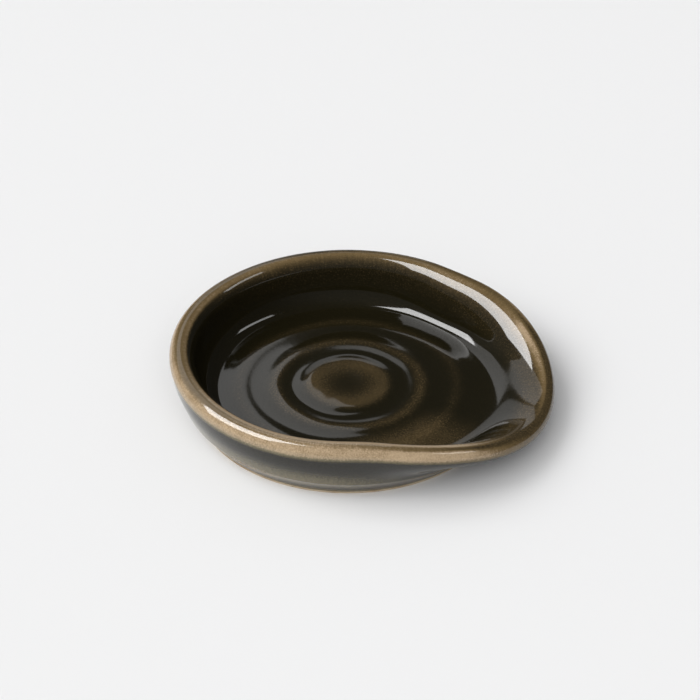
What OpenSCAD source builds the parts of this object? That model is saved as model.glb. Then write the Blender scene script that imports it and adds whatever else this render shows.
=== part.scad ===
// Spoon rest: a small thrown stoneware dish with a rolled rim and a lip for the spoon's handle.
// Millimetres. The dish stands on z = 0 and its lip points along +X.

/* [Rim] */
// Outside diameter over the round part of the rim
rim_d = 102; // [96:1:125]
// Height of the round rim above the table
rim_h = 20; // [17:0.5:28]
// Thickness of the rolled rim
rim_t = 5.5; // [4.5:0.1:7]
// Rounding of the rim's inner edge on the round side
rim_round_r = 4.5; // [2.5:0.1:6]

/* [Lip] */
// How far the lip reaches out past the round rim
lip_out = 8.6; // [5:0.2:14]
// Height of the lip's lowest point above the table
lip_h = 9.5; // [8.5:0.1:14]
// Thickness of the rim at the lip's lowest point
lip_t = 4.5; // [3.5:0.1:5.5]
// Radius of the lip's nose, seen from above
lip_nose_r = 44.5; // [32:0.5:48]
// Rounding of the rim's inner edge at the lip's middle
lip_round_r = 10; // [4:0.5:14]
// Angle from the lip's middle to where the rim is level again
lip_span = 108; // [80:1:140]

/* [Floor] */
// Height of the floor's hollows above the table
floor_h = 5.2; // [4.5:0.1:7]
// Number of throwing rings between the middle of the floor and the wall
ring_n = 3; // [1:1:4]
// Height of the throwing rings
ring_h = 0.9; // [0.2:0.1:1.4]
// Reach of the rounded turn from the floor up into the wall, in from the hip
turn_r = 11; // [8:0.1:14]

/* [Foot] */
// Outside diameter of the foot where it meets the table
foot_d = 87.5; // [80:0.5:92]
// Width of the foot ring's flat face
foot_w = 5; // [3:0.1:8]
// Height of the hip, the ridge on the outside above the foot
hip_h = 6.1; // [4:0.1:7]
// How far the hip stands out past the foot
hip_out = 4; // [1:0.1:5]
// Depth of the hollow under the dish, inside the foot ring
recess_h = 1.6; // [1:0.1:2.2]

/* [Glaze] */
// Thickness of the glaze
glaze_t = 0.5; // [0.2:0.05:0.7]
// Height of the bare clay band left at the foot
bare_h = 0.9; // [0.5:0.1:1.5]

/* [Hidden] */

// Steps around the dish, and steps along each stretch of the section
AROUND = 60;
STEPS_A_RING = 4;
STEPS_WALL = 7;
STEPS_RIM_IN = 4;
STEPS_RIM_OUT = 4;
STEPS_SIDE = 5;
STEPS_FOOT = 3;
STEPS_RECESS = 4;

// Distance of the roll's top from the dish's axis on the round side and at the lip,
// and height of the rim's widest point
rim_r = rim_d / 2 - rim_t / 2;
lip_r = rim_d / 2 + lip_out - lip_t / 2;
rim_z = rim_h - rim_t / 2;

// Plan of the rim: the round rim and the lip's nose, joined by their common tangents
nose_x = lip_r - lip_nose_r;
tangent_a = acos((rim_r - lip_nose_r) / nose_x);
nose_a = atan2(lip_nose_r * sin(tangent_a), nose_x + lip_nose_r * cos(tangent_a));

// How sharply the rim dips to the lip, as a power of the cosine wave
LIP_DIP_POWER = 3;

// Lean of the wall from upright, from the hip to the widest part of the rim
foot_r = foot_d / 2;
hip_r = foot_r + hip_out;
wall_lean = atan2(rim_d / 2 - hip_r, rim_z - hip_h);

// How much steeper than the wall's lean the inside is at the rim, and how much the outside bulges
// at the rim and at the hip
INSIDE_STEEPER = 16;
RIM_BULGE = 8;
HIP_BULGE = 5;

// Angles on the roll where the inside ends and the outside begins, 90 being its top
roll_in_rim = 180 + INSIDE_STEEPER - wall_lean;
ROLL_IN_LIP = 105;
roll_out_rim = RIM_BULGE - wall_lean;
ROLL_OUT_LIP = -80;

// Lean of the outside from upright where it meets the hip
hip_lean_rim = HIP_BULGE + wall_lean;
HIP_LEAN_LIP = 72;

// At the lip the hip draws in under the lip: shares of its reach and of the lip's underside height
HIP_LIP_OUT = 0.7;
HIP_LIP_H = 0.65;

// Curve of the foot's side, hollow above and upright at the table
FOOT_CURVE = 1.4;

// Reach of the curve handles along the wall's turn and along the outside
TURN_REACH_RIM = 0.48;
TURN_REACH_LIP = 0.73;
WALL_REACH = 0.5;
SIDE_REACH = 0.4;

// The floor ends where the wall's turn begins, half a ring past the last throwing ring
floor_r = hip_r - turn_r;
ring_gap = floor_r / (ring_n + 0.5);
// Share of its height that a throwing ring loses from the middle to the wall
RING_FADE = 0.5;

// Inner radius of the foot ring, and the rounding in the corner of the hollow under the dish
recess_r = foot_r - foot_w;
RECESS_COVE = 2.5;

// The origin is the middle of the object's box on the table
centre_x = -lip_out / 2;

function mix(a, b, w) = a + (b - a) * w;

function bezier(p0, p1, p2, p3, t) =
    pow(1 - t, 3) * p0 + 3 * t * pow(1 - t, 2) * p1 + 3 * t * t * (1 - t) * p2 + pow(t, 3) * p3;

function reversed(list) = [for (i = [len(list) - 1 : -1 : 0]) list[i]];

// 1 at the lip's middle, 0 where the rim is level: a plain wave, and one that stays nearer the lip
function lip_wave(a) = 0.5 + 0.5 * cos(180 * min(abs(a) / lip_span, 1));
function lip_weight(a) = pow(lip_wave(a), LIP_DIP_POWER);

// Distance of the roll's top from the dish's axis
function plan_r(a) =
    let (b = abs(a))
    b >= tangent_a ? rim_r :
    b >= nose_a ? rim_r / cos(tangent_a - b) :
    nose_x * cos(b) + sqrt(pow(lip_nose_r, 2) - pow(nose_x * sin(b), 2));

// Throwing rings: a wide dimple in the middle, then crests one ring_gap apart
function ring_wave(r) =
    r < ring_gap ? 0.5 - 0.5 * cos(180 * r / ring_gap) : 0.5 + 0.5 * cos(360 * (r - ring_gap) / ring_gap);
function floor_z(r) = floor_h + ring_h * (1 - RING_FADE * r / floor_r) * ring_wave(r);

// Point and direction on the rim's roll at angle f on it, for a section at angle a around the dish.
// The roll's inner edge, past its top, has a rounding of its own.
function roll_point(a, f) =
    let (
        w = lip_weight(a),
        top = [plan_r(a), mix(rim_h, lip_h, w)],
        rad = f > 90 ? mix(rim_round_r, lip_round_r, lip_wave(a)) : mix(rim_t, lip_t, w) / 2
    )
    top + rad * [cos(f), sin(f) - 1];
function roll_dir(f) = [sin(f), -cos(f)];

// The finished surface at angle a, as [radius, height] from the middle of the floor
// over the rim and down the outside to the edge of the glaze
function floor_line() =
    let (steps = round((ring_n + 0.5) * STEPS_A_RING))
    [for (i = [0 : steps]) let (r = floor_r * i / steps) [r, floor_z(r)]];

function wall_line(a, from_f) =
    let (
        p0 = [floor_r, floor_z(floor_r)],
        p3 = roll_point(a, from_f),
        p1 = p0 + mix(TURN_REACH_RIM, TURN_REACH_LIP, lip_weight(a)) * [turn_r, 0],
        p2 = p3 - WALL_REACH * norm(p3 - p0) * roll_dir(from_f)
    )
    [for (i = [1 : STEPS_WALL]) bezier(p0, p1, p2, p3, i / STEPS_WALL)];

function rim_line(a, from_f, to_f) =
    concat(
        [for (i = [1 : STEPS_RIM_IN]) roll_point(a, mix(from_f, 90, i / STEPS_RIM_IN))],
        [for (i = [1 : STEPS_RIM_OUT]) roll_point(a, mix(90, to_f, i / STEPS_RIM_OUT))]
    );

function hip_point(a) =
    let (w = lip_weight(a))
    [foot_r + hip_out * mix(1, HIP_LIP_OUT, w), mix(hip_h, HIP_LIP_H * (lip_h - lip_t), w)];

function side_line(a, to_f) =
    let (
        lean = mix(hip_lean_rim, HIP_LEAN_LIP, lip_weight(a)),
        p0 = roll_point(a, to_f),
        p3 = hip_point(a),
        reach = SIDE_REACH * norm(p3 - p0),
        p1 = p0 + reach * roll_dir(to_f),
        p2 = p3 + reach * [sin(lean), cos(lean)]
    )
    [for (i = [1 : STEPS_SIDE]) bezier(p0, p1, p2, p3, i / STEPS_SIDE)];

function foot_line(a) =
    let (hip = hip_point(a))
    [for (i = [1 : STEPS_FOOT])
        let (z = mix(hip.y, bare_h, i / STEPS_FOOT))
        [foot_r + (hip.x - foot_r) * pow(z / hip.y, FOOT_CURVE), z]];

function skin(a) =
    let (
        w = lip_weight(a),
        from_f = mix(roll_in_rim, ROLL_IN_LIP, w),
        to_f = mix(roll_out_rim, ROLL_OUT_LIP, w)
    )
    concat(floor_line(), wall_line(a, from_f), rim_line(a, from_f, to_f), side_line(a, to_f), foot_line(a));

// A line moved sideways by depth, to the right of its direction; it keeps its last point,
// and its depth runs out over the last `taper` steps
function sunk(line, depth, taper) =
    let (last = len(line) - 1)
    [for (i = [0 : last])
        let (
            dir = i == 0 ? [1, 0] : line[min(i + 1, last)] - line[i - 1],
            share = min(1, (last - i) / taper)
        )
        line[i] + depth * share / norm(dir) * [dir.y, -dir.x]];

function clay_skin(a) = sunk(skin(a), glaze_t, STEPS_FOOT);

// The underside of the clay, from the table up into the hollow and in to its middle
function recess_line() =
    concat(
        [for (i = [0 : STEPS_RECESS])
            let (f = 90 * i / STEPS_RECESS)
            [recess_r - RECESS_COVE * (1 - cos(f)), recess_h * sin(f)]],
        [[recess_r / 2, recess_h], [0, recess_h]]
    );

// A closed solid turned from sections, one for each step around. Each section starts and ends on the axis.
// Quads are split from corner to corner, the other way in the rows from flip[0] up to flip[1],
// so that two solids that share a surface share its triangles too.
module turned(sections, flip = [0, 0]) {
    rows = len(sections[0]) - 2;
    points = concat(
        [for (k = [0 : AROUND - 1], i = [1 : rows])
            let (a = 360 * k / AROUND, p = sections[k][i])
            [p.x * cos(a), p.x * sin(a), p.y]],
        [[0, 0, sections[0][0].y], [0, 0, sections[0][rows + 1].y]]
    );
    first = AROUND * rows;
    function at(k, i) = (k % AROUND) * rows + i;
    faces = concat(
        [for (k = [0 : AROUND - 1]) [first, at(k + 1, 0), at(k, 0)]],
        [for (k = [0 : AROUND - 1]) [first + 1, at(k, rows - 1), at(k + 1, rows - 1)]],
        [for (k = [0 : AROUND - 1], i = [0 : rows - 2])
            let (p = at(k, i), q = at(k + 1, i), r = at(k + 1, i + 1), s = at(k, i + 1))
            each i >= flip[0] && i < flip[1] ? [[p, q, s], [q, r, s]] : [[p, q, r], [p, r, s]]]
    );
    translate([centre_x, 0, 0]) polyhedron(points, faces);
}

// Angle of a step around the dish, from -180 to 180 with the lip at 0
function step_a(k) = let (a = 360 * k / AROUND) a > 180 ? a - 360 : a;

module clay_body() {
    color("tan")
        turned([for (k = [0 : AROUND - 1])
            concat(clay_skin(step_a(k)), [[foot_r, 0]], recess_line())]);
}

module glaze_coat() {
    color("darkolivegreen")
        turned([for (k = [0 : AROUND - 1])
            let (outer = skin(step_a(k)), inner = clay_skin(step_a(k)))
            concat(outer, reversed([for (i = [0 : len(inner) - 2]) inner[i]]))],
            [len(skin(0)) - 2, 2 * len(skin(0))]);
}

module foot_recess_glaze() {
    bed = reversed(recess_line());
    edge = len(bed) - 2;
    face = [for (i = [0 : edge]) bed[i]];
    color("darkolivegreen")
        turned([for (k = [0 : AROUND - 1])
            concat(face, reversed([for (i = [0 : edge - 1]) sunk(face, glaze_t, STEPS_RECESS)[i]]))],
            [0, edge - 1]);
}

clay_body();
glaze_coat();
foot_recess_glaze();
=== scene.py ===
import math

import bpy
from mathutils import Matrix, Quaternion, Vector


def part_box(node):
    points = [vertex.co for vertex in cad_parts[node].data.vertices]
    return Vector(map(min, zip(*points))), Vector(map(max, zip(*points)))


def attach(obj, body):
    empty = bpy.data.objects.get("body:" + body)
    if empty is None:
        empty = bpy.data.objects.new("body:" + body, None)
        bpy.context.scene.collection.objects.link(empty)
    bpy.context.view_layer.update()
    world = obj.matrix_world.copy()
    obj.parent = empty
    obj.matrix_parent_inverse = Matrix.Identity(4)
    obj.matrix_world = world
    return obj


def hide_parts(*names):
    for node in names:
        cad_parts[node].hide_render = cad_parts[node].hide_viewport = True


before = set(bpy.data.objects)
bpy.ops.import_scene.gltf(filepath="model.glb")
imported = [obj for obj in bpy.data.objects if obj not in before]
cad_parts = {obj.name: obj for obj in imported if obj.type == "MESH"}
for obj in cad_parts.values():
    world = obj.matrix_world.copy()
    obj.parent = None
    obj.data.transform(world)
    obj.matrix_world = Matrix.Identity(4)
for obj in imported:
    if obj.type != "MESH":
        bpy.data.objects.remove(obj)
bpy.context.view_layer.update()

# Clay body
# The dish itself: buff stoneware thrown on a wheel, its rim pulled out and pressed down at one side into
# a lip. Its foot was trimmed on the wheel when leather-hard, and a thin band of the foot is left bare.

MM = 0.001

glaze_low, glaze_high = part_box("glaze_coat")
recess_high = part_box("foot_recess_glaze")[1]
rim_radius = glaze_high.y
axis_x = glaze_low.x + rim_radius

DISH = {
    "Axis X": axis_x,
    "Rim radius": rim_radius,
    "Rim top": glaze_high.z,
    "Rim thickness": 5.5 * MM,
    "Rim rounding": 4.5 * MM,
    "Lip reach": glaze_high.x - axis_x,
    "Lip top": 9.5 * MM,
    "Lip thickness": 4.5 * MM,
    "Lip nose radius": 44.5 * MM,
    "Lip rounding": 10 * MM,
    "Lip span": math.radians(108),
    "Floor height": 5.2 * MM,
    "Ring gap": 10.5 * MM,
    "Ring height": 0.6 * MM,
    "Turn reach": 11 * MM,
    "Foot radius": 43.75 * MM,
    "Hip reach": 4 * MM,
    "Hip height": 6.1 * MM,
    "Bare band": glaze_low.z,
    "Foot edge": 0.35 * MM,
    "Recess radius": recess_high.y,
    "Recess depth": recess_high.z,
    "Recess cove": 2.5 * MM,
    "Glaze thickness": 0.5 * MM,
    "Hand": 0.12 * MM,
}

# How the section bends, each as a pair: on the round rim, and at the lip's middle. ROLL_IN and ROLL_OUT are
# the angles on the rim's roll where the wall meets it and where the outside leaves it. HIP_LEAN is how far
# the outside leans where it meets the hip. On the round rim these three count from the lean of the side.
# TURN_UP is where the floor turns up into the wall, as a share of the turn's reach.
ROLL_IN = math.radians(196), math.radians(105)
ROLL_OUT = math.radians(8), math.radians(-80)
HIP_LEAN = math.radians(5), math.radians(72)
TURN_UP = 0.48, 0.73

# How far the wall keeps its direction from the roll, and the outside from each of its ends,
# as shares of their length
WALL_PULL = 0.5
SIDE_PULL = 0.4

# At the lip's middle the hip keeps this share of its reach, and stands at this share of the height of
# the lip's underside
HIP_DRAWN_IN = 0.7
HIP_LOWERED = 0.65

# Power of the curve by which the foot's side draws in from the hip to the table
FOOT_CURVE = 1.4

# How far the throwing rings sway, as a share of their gap, how uneven they are,
# and the share of their height that they lose on the way out
RING_SWAY = 0.35
RING_UNEVEN = 1.1
RING_LOSS = 0.88

# Steps around the dish, and along each stretch of its section: from the middle of the floor to the bare band,
# and from there under the foot to the middle of the recess
AROUND = 240
SKIN_STEPS = {"floor": 56, "wall": 30, "shoulder": 14, "brow": 14, "side": 20, "foot": 12}
UNDER_STEPS = {"band": 6, "edge": 4, "ring": 8, "cove": 8, "hollow": 14}

# Points nearer to each other than this become one
WELD = 0.002 * MM


class Wire:
    """One output of a node. Arithmetic on it adds Math nodes, and node() adds a node of any other kind."""

    def __init__(self, tree, socket=None):
        self.tree = tree
        self.socket = socket

    def node(self, kind, settings=None, sockets=None, out=0):
        added = self.tree.nodes.new(kind)
        for name, value in (settings or {}).items():
            setattr(added, name, value)
        for name, value in (sockets or {}).items():
            for one in value if isinstance(value, list) else [value]:
                if isinstance(one, Wire):
                    self.tree.links.new(one.socket, added.inputs[name])
                else:
                    added.inputs[name].default_value = one
        return Wire(self.tree, added.outputs[out])

    def beside(self, out):
        return Wire(self.tree, self.socket.node.outputs[out])

    def math(self, operation, *values):
        return self.node("ShaderNodeMath", {"operation": operation}, dict(enumerate(values)))

    def __add__(self, other):
        return self.math("ADD", self, other)

    def __radd__(self, other):
        return self.math("ADD", other, self)

    def __sub__(self, other):
        return self.math("SUBTRACT", self, other)

    def __rsub__(self, other):
        return self.math("SUBTRACT", other, self)

    def __mul__(self, other):
        return self.math("MULTIPLY", self, other)

    def __rmul__(self, other):
        return self.math("MULTIPLY", other, self)

    def __truediv__(self, other):
        return self.math("DIVIDE", self, other)

    def __rtruediv__(self, other):
        return self.math("DIVIDE", other, self)

    def __pow__(self, other):
        return self.math("POWER", self, other)

    def __gt__(self, other):
        return self.math("GREATER_THAN", self, other)

    def __abs__(self):
        return self.math("ABSOLUTE", self)


def cosine(angle):
    return angle.math("COSINE", angle)


def sine(angle):
    return angle.math("SINE", angle)


def smaller(a, b):
    return a.math("MINIMUM", a, b)


def larger(a, b):
    return a.math("MAXIMUM", a, b)


def length(a, b):
    """Length of the line that goes this far along each of two directions."""
    return a.math("SQRT", a ** 2 + b ** 2)


def mixed(a, b, share):
    """a where the share is 0, b where it is 1."""
    return a + (b - a) * share


def ease(value, low, high):
    """0 at low, 1 at high and smooth between them; low may be the larger one."""
    return value.node("ShaderNodeMapRange", {"interpolation_type": "SMOOTHSTEP"},
                      {"Value": value, "From Min": low, "From Max": high})


def pick(test, yes, no):
    return test.node("GeometryNodeSwitch", {"input_type": "FLOAT"},
                     {"Switch": test, "True": yes, "False": no})


def bezier(p0, p1, p2, p3, t):
    s = 1 - t
    return s * s * s * p0 + 3 * t * s * s * p1 + 3 * t * t * s * p2 + t * t * t * p3


def uneven(angle, wave, layer=0.0):
    """Smooth noise around the turn, from about 0 to 1, with waves about this share of a turn long.
    Each layer of it has another pattern."""
    around = 2 * math.pi * wave
    spot = angle.node("ShaderNodeCombineXYZ", sockets={
        "X": cosine(angle) / around, "Y": sine(angle) / around, "Z": layer})
    return angle.node("ShaderNodeTexNoise", sockets={"Vector": spot, "Scale": 1.0, "Detail": 1.0})


def turned_grid(start, steps):
    """A flat grid to bend into a turned surface, with its angle around, its share along each stretch,
    and whether each stretch has begun."""
    total = sum(steps.values())
    grid = start.node("GeometryNodeMeshGrid", sockets={
        "Size X": 1.0, "Size Y": 1.0, "Vertices X": AROUND + 1, "Vertices Y": total + 1})
    grid = grid.node("GeometryNodeFlipFaces", sockets={"Mesh": grid})
    place = start.node("GeometryNodeInputPosition")
    across = start.node("ShaderNodeSeparateXYZ", sockets={"Vector": place})
    angle = across * (2 * math.pi)
    step = (across.beside("Y") + 0.5) * total
    shares, begun, first = {}, {}, 0
    for name, count in steps.items():
        shares[name] = start.node("ShaderNodeClamp", sockets={"Value": (step - first) / count})
        begun[name] = step > first + 0.5
        first += count
    return grid, angle, shares, begun


def bent(grid, angle, axis, lines, begun):
    """The grid set on its section, whose stretches follow on from each other."""
    names = list(lines)
    radius, height = lines[names[0]]
    for name in names[1:]:
        radius = pick(begun[name], lines[name][0], radius)
        height = pick(begun[name], lines[name][1], height)
    spot = grid.node("ShaderNodeCombineXYZ", sockets={
        "X": axis + radius * cosine(angle), "Y": radius * sine(angle), "Z": height})
    return grid.node("GeometryNodeSetPosition", sockets={"Geometry": grid, "Position": spot})


def noted(shape, name, value):
    """The shape with a value kept at each of its points, under a name that a material can read."""
    return shape.node("GeometryNodeStoreNamedAttribute", {"data_type": "FLOAT", "domain": "POINT"},
                      {"Geometry": shape, "Name": name, "Value": value})


def welded(shape):
    """The shape with the points that meet at its seams, middles and edges made one."""
    return shape.node("GeometryNodeMergeByDistance", sockets={"Geometry": shape, "Distance": WELD})


def joined(*shapes):
    return welded(shapes[0].node("GeometryNodeJoinGeometry", sockets={"Geometry": list(shapes)}))


def sized_tree(name, sizes):
    """An empty Geometry Nodes tree with a named input for each size, and those inputs as wires."""
    tree = bpy.data.node_groups.new(name, "GeometryNodeTree")
    tree.interface.new_socket("Geometry", in_out="OUTPUT", socket_type="NodeSocketGeometry")
    for size in sizes:
        tree.interface.new_socket(size, in_out="INPUT", socket_type="NodeSocketFloat")
    given = tree.nodes.new("NodeGroupInput")
    return Wire(tree), {size: Wire(tree, given.outputs[size]) for size in sizes}


def lip_waves(size, turn):
    """1 at the lip's middle, 0 where the rim is level: a plain wave, and one that stays nearer the lip."""
    level = smaller(turn / size["Lip span"], 1)
    swell = 0.5 + 0.5 * cosine(level * math.pi)
    return swell, swell ** 3


def hip_line(size, lip):
    """How far the hip stands out from the foot, and how high it is."""
    lip_underside = size["Lip top"] - size["Lip thickness"]
    hip_out = size["Hip reach"] * mixed(1, HIP_DRAWN_IN, lip)
    return hip_out, mixed(size["Hip height"], HIP_LOWERED * lip_underside, lip)


def foot_side(size, hip_out, hip_z, height):
    """Radius at a height of the foot's side, which curves in from the hip to the table."""
    return size["Foot radius"] + hip_out * (height / hip_z) ** FOOT_CURVE


def dish_skin(start, size, glaze_notes=None):
    """The finished surface of the dish, from the middle of the floor over the rim and down to the bare band.
    It keeps the share of the glaze's thickness at each point, and the values that glaze_notes gives."""
    grid, angle, share, begun = turned_grid(start, SKIN_STEPS)
    turn = abs(angle)
    swell, lip = lip_waves(size, turn)

    # Plan of the rim: the round rim and the lip's nose, joined by their common tangents
    rim_roll = size["Rim thickness"] / 2
    lip_roll = size["Lip thickness"] / 2
    round_r = size["Rim radius"] - rim_roll
    nose_r = size["Lip nose radius"]
    nose_x = size["Lip reach"] - lip_roll - nose_r
    tangent = start.math("ARCCOSINE", (round_r - nose_r) / nose_x)
    nose_end = start.math("ARCTAN2", nose_r * sine(tangent), nose_x + nose_r * cosine(tangent))
    straight_r = round_r / cosine(tangent - turn)
    reach = nose_x * sine(turn)
    bow_r = nose_x * cosine(turn) + start.math("SQRT", nose_r * nose_r - reach * reach)
    plan_r = pick(turn > tangent, round_r, pick(turn > nose_end, straight_r, bow_r))
    plan_r = plan_r - size["Hand"] * uneven(angle, wave=0.12, layer=3.0)

    # The roll of the rim, its shoulder inside the top rounded more towards the lip,
    # and the angles on it where the inside ends and the outside begins
    rim_z = size["Rim top"] - rim_roll
    top_level = mixed(size["Rim top"], size["Lip top"], lip) - size["Hand"] * uneven(angle, wave=0.09)
    roll = mixed(rim_roll, lip_roll, lip)
    shoulder = mixed(size["Rim rounding"], size["Lip rounding"], swell)
    hip_r = size["Foot radius"] + size["Hip reach"]
    lean = start.math("ARCTAN2", size["Rim radius"] - hip_r, rim_z - size["Hip height"])
    roll_in = mixed(ROLL_IN[0] - lean, ROLL_IN[1], lip)
    roll_out = mixed(ROLL_OUT[0] - lean, ROLL_OUT[1], lip)

    def on_roll(radius, turned):
        return plan_r + radius * cosine(turned), top_level + radius * (sine(turned) - 1)

    # Floor with its throwing rings: a wide dimple in the middle, then crests one gap apart that fade outwards
    gap = size["Ring gap"]
    floor_r = hip_r - size["Turn reach"]
    ring_r = floor_r * share["floor"]
    sway = ring_r + gap * share["floor"] * (uneven(angle, wave=0.2, layer=7.0) - 0.5) * RING_SWAY
    dimple = 0.75 - 0.25 * cosine(sway / gap * math.pi)
    crests = 0.5 + 0.5 * cosine((sway - gap) / gap * (2 * math.pi))
    wave = pick(sway > gap, crests, dimple)
    patchy = (uneven(angle, wave=0.16, layer=share["floor"] * 4) - 0.5) * RING_UNEVEN
    fade = 1 + patchy * ease(share["floor"], 0.1, 0.4)
    fade = fade * (1 - RING_LOSS * share["floor"]) * (1 - ease(share["floor"], 0.9, 1.0))
    floor_z = size["Floor height"] + size["Ring height"] * fade * wave

    # Wall from the floor's edge up to the roll
    edge_z = size["Floor height"]
    top_r, top_z = on_roll(shoulder, roll_in)
    pull = length(top_r - floor_r, top_z - edge_z) * WALL_PULL
    turn_r = floor_r + mixed(*TURN_UP, lip) * size["Turn reach"]
    wall_r = bezier(floor_r, turn_r, top_r - pull * sine(roll_in), top_r, share["wall"])
    wall_z = bezier(edge_z, edge_z, top_z + pull * cosine(roll_in), top_z, share["wall"])

    # Outside from the roll down to the hip, which draws in under the lip
    side_r, side_z = on_roll(roll, roll_out)
    hip_out, hip_z = hip_line(size, lip)
    hip_edge = size["Foot radius"] + hip_out
    hip_lean = mixed(HIP_LEAN[0] + lean, HIP_LEAN[1], swell ** 5)
    pull = length(hip_edge - side_r, hip_z - side_z) * SIDE_PULL
    down = share["side"]
    out_r = bezier(side_r, side_r + pull * sine(roll_out), hip_edge + pull * sine(hip_lean), hip_edge, down)
    out_z = bezier(side_z, side_z - pull * cosine(roll_out), hip_z + pull * cosine(hip_lean), hip_z, down)

    # Side of the foot, down to the bare band
    foot_z = mixed(hip_z, size["Bare band"], share["foot"])
    foot_r = foot_side(size, hip_out, hip_z, foot_z)

    if glaze_notes:
        crest = wave ** 3 * (1 - begun["wall"]) * fade
        for name, value in glaze_notes(angle, swell, share, crest).items():
            grid = noted(grid, name, value)
    grid = noted(grid, "cover", 1 - share["foot"])
    skin = bent(grid, angle, size["Axis X"], {
        "floor": (ring_r, floor_z),
        "wall": (wall_r, wall_z),
        "shoulder": on_roll(shoulder, mixed(roll_in, math.pi / 2, share["shoulder"])),
        "brow": on_roll(roll, mixed(math.pi / 2, roll_out, share["brow"])),
        "side": (out_r, out_z),
        "foot": (foot_r, foot_z),
    }, begun)
    return welded(skin)


def sunk(skin, size):
    """The skin moved in by the glaze's thickness, which runs out at the bare band."""
    cover = skin.node("GeometryNodeInputNamedAttribute", {"data_type": "FLOAT"}, {"Name": "cover"})
    normal = skin.node("GeometryNodeInputNormal")
    depth = skin.node("ShaderNodeVectorMath", {"operation": "SCALE"},
                      {0: normal, "Scale": size["Glaze thickness"] * cover * -1})
    return skin.node("GeometryNodeSetPosition", sockets={"Geometry": skin, "Offset": depth})


def turned_inside_out(shape):
    return shape.node("GeometryNodeFlipFaces", sockets={"Mesh": shape})


def made(name, start, shape, sizes, material):
    """Ends a tree, and gives the object that it makes as a plain mesh."""
    shape = shape.node("GeometryNodeSetShadeSmooth", sockets={"Geometry": shape})
    shape = shape.node("GeometryNodeRealizeInstances", sockets={"Geometry": shape})
    shape = shape.node("GeometryNodeSetMaterial", sockets={"Geometry": shape, "Material": material})
    tree = start.tree
    end = tree.nodes.new("NodeGroupOutput")
    tree.links.new(shape.socket, end.inputs["Geometry"])
    piece = bpy.data.objects.new(name, bpy.data.meshes.new(name))
    bpy.context.scene.collection.objects.link(piece)
    growth = piece.modifiers.new("Growth", "NODES")
    growth.node_group = tree
    for socket in tree.interface.items_tree:
        if socket.in_out == "INPUT":
            growth[socket.identifier] = sizes[socket.name]
    graph = bpy.context.evaluated_depsgraph_get()
    mesh = bpy.data.meshes.new_from_object(piece.evaluated_get(graph))
    piece.modifiers.remove(growth)
    piece.data = mesh
    mesh.name = name
    return piece


def new_finish(name):
    """A new material with its Principled shader and a wire to start its other nodes from."""
    material = bpy.data.materials.new(name)
    material.use_nodes = True
    tree = material.node_tree
    return material, tree.nodes["Principled BSDF"], Wire(tree)


def wired(shader, socket, wire):
    wire.tree.links.new(wire.socket, shader.inputs[socket])


# A Mix node has sockets of several kinds: these are the places of its share and of the ones for colours
MIX_SHARE, MIX_A, MIX_B, MIX_RESULT = 0, 6, 7, 2


def coloured(a, b, share):
    """The first colour where the share is 0, the second where it is 1."""
    return share.node("ShaderNodeMix", {"data_type": "RGBA"},
                      {MIX_SHARE: share, MIX_A: a, MIX_B: b}, out=MIX_RESULT)


def grain(start, size, detail=2.0, roughness=0.5):
    """Noise on the object, with grains about this far apart, around 0.5."""
    place = start.node("ShaderNodeTexCoord", out="Object")
    return start.node("ShaderNodeTexNoise", sockets={
        "Vector": place, "Scale": 1 / size, "Detail": detail, "Roughness": roughness})


def bumped(start, strength, depth, height):
    return start.node("ShaderNodeBump", sockets={"Strength": strength, "Distance": depth, "Height": height})


BUFF = (0.50, 0.41, 0.29, 1)
TOASTED = (0.40, 0.29, 0.18, 1)
IRON = (0.10, 0.06, 0.035, 1)
stoneware, shader, start = new_finish("bare_stoneware")
grit = grain(start, 0.5 * MM, detail=3.0, roughness=0.6)
cloud = grain(start, 7 * MM)
buff = coloured(BUFF, TOASTED, ease(cloud, 0.4, 0.7))
wired(shader, "Base Color", coloured(buff, IRON, ease(grit, 0.64, 0.72)))
wired(shader, "Roughness", 0.78 + grit * 0.16)
wired(shader, "Normal", bumped(start, strength=0.5, depth=0.12 * MM, height=grit))

# Under the glaze the clay follows the dish's skin. Below it come the bare band, the rounded edge of the foot,
# the flat ring that it stands on, and the cove and ceiling of the recess.
start, size = sized_tree("Thrown clay", DISH)
grid, angle, share, begun = turned_grid(start, UNDER_STEPS)
swell, lip = lip_waves(size, abs(angle))
hip_out, hip_z = hip_line(size, lip)
edge = size["Foot edge"]
band_z = mixed(size["Bare band"], edge, share["band"])
low_r = foot_side(size, hip_out, hip_z, edge)
edge_turn = share["edge"] * (math.pi / 2)
cove_turn = share["cove"] * (math.pi / 2)
cove_r = size["Recess radius"] - size["Recess cove"] * (1 - cosine(cove_turn))
ceiling_r = size["Recess radius"] - size["Recess cove"]
under = bent(grid, angle, size["Axis X"], {
    "band": (foot_side(size, hip_out, hip_z, band_z), band_z),
    "edge": (low_r - edge * (1 - cosine(edge_turn)), edge * (1 - sine(edge_turn))),
    "ring": (mixed(low_r - edge, size["Recess radius"], share["ring"]), 0.0),
    "cove": (cove_r, size["Recess depth"] * sine(cove_turn)),
    "hollow": (ceiling_r * (1 - share["hollow"]), size["Recess depth"]),
}, begun)
whole = joined(sunk(dish_skin(start, size), size), under)
clay_body = made("clay_body_thrown", start, whole, DISH, stoneware)
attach(clay_body, "root")
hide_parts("clay_body")

# Glaze coat
# A glossy olive-brown glaze that the dish was dipped in and that was melted onto it in the kiln.
# It is dark where it lies thick and breaks to tan where it ran thin, over the rim, the hip and the rings. Its
# thinness also holds painted shade in the well and painted light on the floor by the lip.

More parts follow.
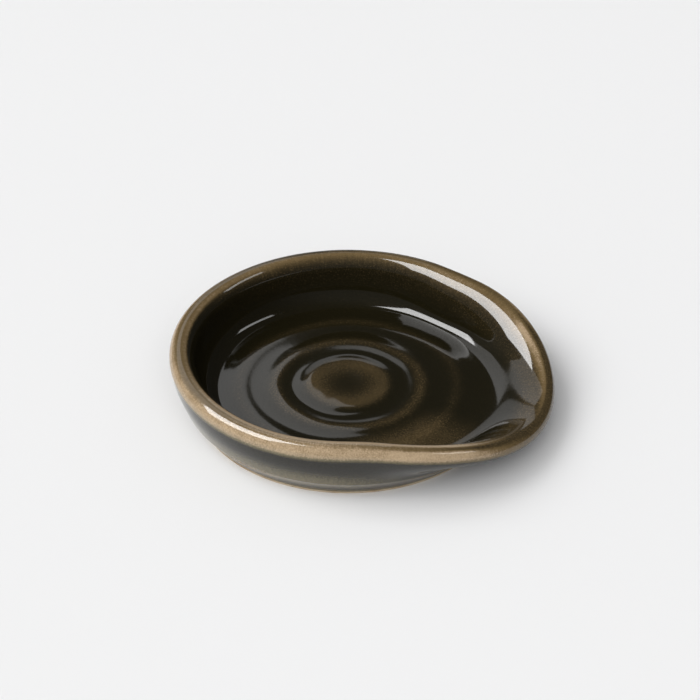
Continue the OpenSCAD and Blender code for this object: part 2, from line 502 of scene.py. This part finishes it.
THICK = (0.009, 0.0075, 0.003, 1)
BROWN = (0.145, 0.099, 0.045, 1)
OLIVE = (0.132, 0.112, 0.064, 1)
TAN = (0.465, 0.348, 0.224, 1)
IOR = 1.46
glaze, shader, start = new_finish("olive_brown_glaze")
thin = start.node("ShaderNodeAttribute", {"attribute_name": "thin"}, out="Fac")
outside = start.node("ShaderNodeAttribute", {"attribute_name": "outside"}, out="Fac")
mottle = grain(start, 0.4 * MM, detail=3.0, roughness=0.65)
drift = grain(start, 5 * MM, detail=3.0)

# The melt ran down the slope, so it is streaked from the rim towards the floor and the foot:
# the pattern changes more slowly down the slope than around it
STREAK_WIDTH = 0.6 * MM
SLOPE_PACE = 0.45
place = start.node("ShaderNodeTexCoord", out="Object")
flat = start.node("ShaderNodeVectorMath", {"operation": "SUBTRACT"}, {0: place, 1: (axis_x, 0, 0)})
flat = start.node("ShaderNodeVectorMath", {"operation": "MULTIPLY"}, {0: flat, 1: (1, 1, 0)})
out = start.node("ShaderNodeVectorMath", {"operation": "LENGTH"}, {0: flat}, out="Value")
around = start.node("ShaderNodeVectorMath", {"operation": "NORMALIZE"}, {0: flat})
around = start.node("ShaderNodeVectorMath", {"operation": "SCALE"}, {0: around, "Scale": rim_radius})
up = start.node("ShaderNodeSeparateXYZ", sockets={"Vector": place}).beside("Z")
down = start.node("ShaderNodeCombineXYZ", sockets={"Z": (out - up) * SLOPE_PACE})
slope = start.node("ShaderNodeVectorMath", {"operation": "ADD"}, {0: around, 1: down})
streaks = start.node("ShaderNodeTexNoise", sockets={
    "Vector": slope, "Scale": 1 / STREAK_WIDTH, "Detail": 3.0})

# Thin glaze breaks up in specks, streaks and wide drifts, and thick glaze only in a few faint specks
drawn = (streaks - 0.5) * mixed(0.8, 0.2, ease(thin, 0.45, 0.75))
broken = thin + thin * ((mottle - 0.5) * 0.7 + drawn + (drift - 0.5) * 0.25)
broken = broken + ease(mottle, 0.5, 0.75) * (0.07 + 0.07 * ease(thin, 0.015, 0.1))
brown = coloured(THICK, coloured(BROWN, OLIVE, outside), ease(broken, 0.0, 0.45))
wired(shader, "Base Color", coloured(brown, TAN, ease(broken, 0.4, 0.95)))
wired(shader, "Roughness", 0.06 + mottle * 0.03)
wired(shader, "Coat Weight", ease(mottle, 0.35, 0.65) * 0.2)
shader.inputs["IOR"].default_value = IOR
wired(shader, "Normal", bumped(start, strength=0.15, depth=0.03 * MM, height=grain(start, 1.6 * MM)))

# How thin the glaze ran at each place, from 0 where it pooled to 1 where the clay all but shows through, with
# painted shade in the well and painted light on the floor by the lip. Far is the +Y side, near the other one.
THIN_AND_PAINTED = {
    # The well is partly pooled glaze and partly painted shade: its low value keeps the whole inside dark
    "well with painted shade": 0.012,
    "wall": 0.04,
    "wall by the lip": 0.15,
    "hip": 0.46,
    "hip under the lip": 0.05,
    "bare band": 0.5,
    "ring crest": 0.2,
    # The floor by the lip is painted light, partly thinner glaze: a lighter patch where that floor is lit
    "painted lit floor by the lip": 0.13,
}
INNER_EDGE = {
    "level": 0.92,
    "level opposite the lip": 0.5,
    "thinner towards the lip": 0.2,
    "thinner far and towards the lip": 0.15,
    "thicker far": 0.52,
    "thicker far and just before the lip": 0.32,
    "thicker round the lip": 0.95,
}
TOP = {
    "level": 0.62,
    "thicker far": 0.39,
    "thicker towards the lip": 0.46,
    "thicker opposite the lip": 0.26,
}
OUTER_EDGE = {
    "level": 0.71,
    "thinner beside the lip": 0.1,
    "thicker far": 0.25,
    "thicker round the lip": 0.55,
}

# Shares of the shoulder over which the glaze thins at once to the inner edge: on most of the rim,
# and opposite the lip
AT_ONCE_FROM = 0.54, 0.6
AT_ONCE_TO = 0.66, 0.72

# Share of the shoulder over which it thins slowly: on the level rim, and at the lip
SLOWLY_TO = 0.82, 0.65
SLOWLY_POWER = 2.7

# Shares of the shoulder over which it goes on to the top: where it thinned at once, and where slowly
TOP_FROM = 0.76, 0.82
TOP_TO = 0.92, 1.0

# Shares of the brow over which it goes on to the outer edge: on the level rim, and beside the lip
EDGE_FROM = 0.1, 0.02
EDGE_TO = 0.42, 0.2

# How far down the outside it stays thin, on the level rim and beside the lip, over how long it then thickens,
# and how long the brow is, all in lengths of the side
THIN_DOWN_TO = 0.385, 0.23
THIN_FADE = 0.19
BROW_LENGTH = 0.44


def run_of_glaze(angle, swell, share, crest):
    """How thin the glaze ran at each point of the dish's skin, with painted shade and painted light inside,
    and where the outside begins.
    """
    # Left is the side opposite the lip. Where it is wide, on the far side and at the lip, the glaze thins
    # slowly over the shoulder, and elsewhere at once.
    far = ease(sine(angle), -0.2, 1.0)
    near = 1 - 0.75 * smaller(far * 1.5, 1)
    left = ease(cosine(angle), -0.35, -0.95)
    wide = larger(smaller(far * 1.3, 1), ease(swell, 0.6, 0.9))

    # The rim's inner edge
    before_lip = ease(swell, 0.35, 0.6) * (1 - ease(swell, 0.7, 0.8))
    round_lip = ease(swell, 0.68, 0.95) * near ** 1.4
    inner_edge = INNER_EDGE["level"] + INNER_EDGE["thinner towards the lip"] * swell
    inner_edge = inner_edge + INNER_EDGE["thinner far and towards the lip"] * far * swell
    inner_edge = inner_edge - INNER_EDGE["thicker far"] * far
    inner_edge = inner_edge - INNER_EDGE["thicker far and just before the lip"] * far * before_lip
    inner_edge = inner_edge - INNER_EDGE["thicker round the lip"] * round_lip
    inner_edge = mixed(inner_edge, INNER_EDGE["level opposite the lip"], left)

    # Its top and its outer edge
    towards_lip = smaller(0.73 * swell * swell, TOP["thicker towards the lip"])
    opposite_lip = ease(cosine(angle), 0.0, -0.6) * (1 - 0.6 * far)
    top = TOP["level"] - larger(TOP["thicker far"] * far, towards_lip)
    top = top - TOP["thicker opposite the lip"] * opposite_lip
    outer_edge = OUTER_EDGE["level"] + OUTER_EDGE["thinner beside the lip"] * ease(swell, 0.3, 0.6)
    outer_edge = outer_edge - OUTER_EDGE["thicker round the lip"] * ease(swell, 0.7, 1.0)
    outer_edge = outer_edge - OUTER_EDGE["thicker far"] * far

    # Up the wall, over the shoulder to the inner edge, and on to the top
    wall = mixed(THIN_AND_PAINTED["wall"], THIN_AND_PAINTED["wall by the lip"], swell * near)
    wall = THIN_AND_PAINTED["well with painted shade"] + wall * ease(share["wall"], 0.6, 1.0) * wide
    at_once = ease(share["shoulder"], mixed(*AT_ONCE_FROM, left), mixed(*AT_ONCE_TO, left))
    slowly = smaller(share["shoulder"] / mixed(*SLOWLY_TO, swell), 1) ** SLOWLY_POWER
    thin = mixed(wall, inner_edge, mixed(at_once, slowly, wide))
    thin = mixed(thin, top, ease(share["shoulder"], mixed(*TOP_FROM, wide), mixed(*TOP_TO, wide)))

    # Over the brow to the outer edge, and down the outside until it is thick again
    lip_side = smaller(swell * 1.4, 1)
    beside_lip = lip_side * (1 - ease(swell, 0.7, 0.85))
    over = ease(share["brow"], mixed(*EDGE_FROM, beside_lip), mixed(*EDGE_TO, beside_lip))
    thin = mixed(thin, outer_edge, over)
    down_to = mixed(*THIN_DOWN_TO, lip_side)
    thin = thin * (1 - ease(share["brow"] * BROW_LENGTH + share["side"], down_to, down_to + THIN_FADE))

    # It is thin again on the hip, at the bare band and a little on the rings
    hip = mixed(THIN_AND_PAINTED["hip"], THIN_AND_PAINTED["hip under the lip"], ease(swell, 0.0, 0.7))
    hip = hip * ease(share["side"], 0.3, 1.1) * (1 - ease(share["foot"], 0.0, 0.9))
    band = THIN_AND_PAINTED["bare band"] * ease(share["foot"], 0.7, 1.0)
    ring = THIN_AND_PAINTED["ring crest"] * crest
    # Lighter patch on the near floor by the lip: partly thinner glaze, partly painted light where that floor
    # is lit
    floor = ease(share["floor"], 0.6, 0.8) * (1 - ease(share["wall"], 0.1, 0.6))
    floor = floor * ease(angle, -1.5, -1.0) * (1 - ease(angle, -0.5, -0.05)) * THIN_AND_PAINTED["painted lit floor by the lip"]
    return {"thin": thin + hip + band + ring + floor, "outside": ease(share["brow"], 0.5, 1.0)}


start, size = sized_tree("Glaze coat", DISH)
outer = dish_skin(start, size, run_of_glaze)
whole = joined(outer, turned_inside_out(sunk(outer, size)))
glaze_coat = made("glaze_coat_melted", start, whole, DISH, glaze)
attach(glaze_coat, "root")
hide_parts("glaze_coat")

# Glaze in the foot recess
# A patch of the same glaze that was poured into the hollow under the dish and wiped off the foot ring,
# so it stops short of the table all the way round.

# Where the glaze was wiped off, as a share of the cove's quarter turn, and how thin it is there
WIPED = 0.25
WIPED_THIN = 0.6
RECESS_STEPS = {"hollow": 14, "cove": 8}


def recess_face(start, size, depth):
    """The hollow's surface, from its middle to where the glaze was wiped off, sunk by a depth
    that runs out there."""
    grid, angle, share, begun = turned_grid(start, RECESS_STEPS)
    grid = noted(grid, "thin", ease(share["cove"], 0.2, 1.0) * WIPED_THIN)
    turned = mixed(math.pi / 2, WIPED * math.pi / 2, share["cove"])
    left = (1 - share["cove"]) * depth
    ceiling_r = size["Recess radius"] - size["Recess cove"]
    cove_r = size["Recess radius"] - size["Recess cove"] * (1 - cosine(turned)) - left * cosine(turned)
    cove_z = size["Recess depth"] * sine(turned) - left * sine(turned)
    return welded(bent(grid, angle, size["Axis X"], {
        "hollow": (ceiling_r * share["hollow"], size["Recess depth"] - depth),
        "cove": (cove_r, cove_z),
    }, begun))


start, size = sized_tree("Recess glaze", DISH)
bed = recess_face(start, size, 0.0)
face = recess_face(start, size, size["Glaze thickness"])
whole = joined(bed, turned_inside_out(face))
recess_glaze = made("foot_recess_glaze_poured", start, whole, DISH, glaze)
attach(recess_glaze, "root")
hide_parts("foot_recess_glaze")

# Table, light and camera
# A plain pale matt table, a soft window at the left, a soft fill high in front, and lights that show only as
# highlights on the glaze. The camera stands in front, a little to the right and well above the rim.

TABLE_HALF = 4.0
PALE = (0.85, 0.85, 0.853, 1)
table = bpy.data.objects.new("table", bpy.data.meshes.new("table"))
bpy.context.scene.collection.objects.link(table)
corners = [(x * TABLE_HALF, y * TABLE_HALF, 0) for x, y in ((-1, -1), (1, -1), (1, 1), (-1, 1))]
table.data.from_pydata(corners, [], [(0, 1, 2, 3)])
paper, shader, start = new_finish("pale_table")
shader.inputs["Base Color"].default_value = PALE
shader.inputs["Roughness"].default_value = 0.9
shader.inputs["Specular IOR Level"].default_value = 0.0
table.data.materials.append(paper)

# Each light's place and angular size as seen from the dish, in degrees, its brightness and its distance in
# metres. Azimuth is from +Y towards +X, and roll turns a light about its middle.
LIGHTS = {
    "window_left": {
        "azimuth": -110, "elevation": 47, "roll": 0, "width": 40, "height": 36,
        "radiance": 3.1, "far": 12.0, "mirrored": False},
    "window_left_glint": {
        "azimuth": -97.6, "elevation": 56.5, "roll": -40, "width": 37, "height": 34,
        "radiance": 12, "far": 1.0, "mirrored": True},
    "screen_behind_glint": {
        "azimuth": -50, "elevation": 43, "roll": 0, "width": 45, "height": 20,
        "radiance": 1.05, "far": 0.45, "mirrored": True},
    "backdrop_glint": {
        "azimuth": -23, "elevation": 21, "roll": 0, "width": 24, "height": 14,
        "radiance": 0.65, "far": 1.0, "mirrored": True},
    "window_right_glint": {
        "azimuth": 57, "elevation": 52, "roll": -60, "width": 20, "height": 10,
        "radiance": 4.4, "far": 1.0, "mirrored": True},
    "front_fill": {
        "azimuth": -172, "elevation": 50, "roll": 0, "width": 80, "height": 32,
        "radiance": 2.1, "far": 12.0, "mirrored": False},
}


def window(name, azimuth, elevation, roll, width, height, radiance, far, mirrored):
    """A soft rectangular light that faces the dish. It shows as a highlight, or it only lights the scene."""
    lamp = bpy.data.lights.new(name, "AREA")
    lamp.shape = "RECTANGLE"
    lamp.size = 2 * far * math.tan(math.radians(width / 2))
    lamp.size_y = 2 * far * math.tan(math.radians(height / 2))
    lamp.energy = radiance * math.pi * lamp.size * lamp.size_y
    holder = bpy.data.objects.new(name, lamp)
    bpy.context.scene.collection.objects.link(holder)
    az, el = math.radians(azimuth), math.radians(elevation)
    holder.location = far * Vector((math.sin(az) * math.cos(el), math.cos(az) * math.cos(el), math.sin(el)))
    facing = (-holder.location).to_track_quat("-Z", "Y")
    holder.rotation_euler = (facing @ Quaternion((0, 0, 1), math.radians(roll))).to_euler()
    holder.visible_glossy = mirrored
    holder.visible_diffuse = not mirrored


for name, light in LIGHTS.items():
    window(name, **light)

# The room is bright in front and dark behind, and darker still where the glaze mirrors it
FRONT = (-0.4, -0.92, 0)
ROOM_BEHIND = 0.22
ROOM_IN_FRONT = 0.7
ROOM_MIRRORED = 0.2
world = bpy.data.worlds.new("room")
world.use_nodes = True
bpy.context.scene.world = world
start = Wire(world.node_tree)
way = start.node("ShaderNodeTexCoord", out="Generated")
front = start.node("ShaderNodeVectorMath", {"operation": "DOT_PRODUCT"}, {0: way, 1: FRONT}, out="Value")
mirrored = start.node("ShaderNodeLightPath", out="Is Glossy Ray")
room = mixed(ROOM_BEHIND, ROOM_IN_FRONT, ease(front, -0.3, 0.6))
backdrop = world.node_tree.nodes["Background"]
backdrop.inputs["Color"].default_value = (1, 1, 1, 1)
wired(backdrop, "Strength", room * mixed(1, ROOM_MIRRORED, mirrored))

# The camera's place and aim, and its sensor's width and its focal length in millimetres
CAMERA_PLACE = Vector((146.3 * MM, -469.0 * MM, 363.2 * MM))
CAMERA_AIM = Vector((-11.2 * MM, 23.4 * MM, 0))
SENSOR = 36
LENS = 108.6
camera = bpy.data.objects.new("camera", bpy.data.cameras.new("camera"))
bpy.context.scene.collection.objects.link(camera)
camera.location = CAMERA_PLACE
camera.rotation_euler = (CAMERA_AIM - CAMERA_PLACE).to_track_quat("-Z", "Y").to_euler()
camera.data.sensor_width = SENSOR
camera.data.lens = LENS
bpy.context.scene.camera = camera
bpy.context.scene.view_settings.view_transform = "Standard"
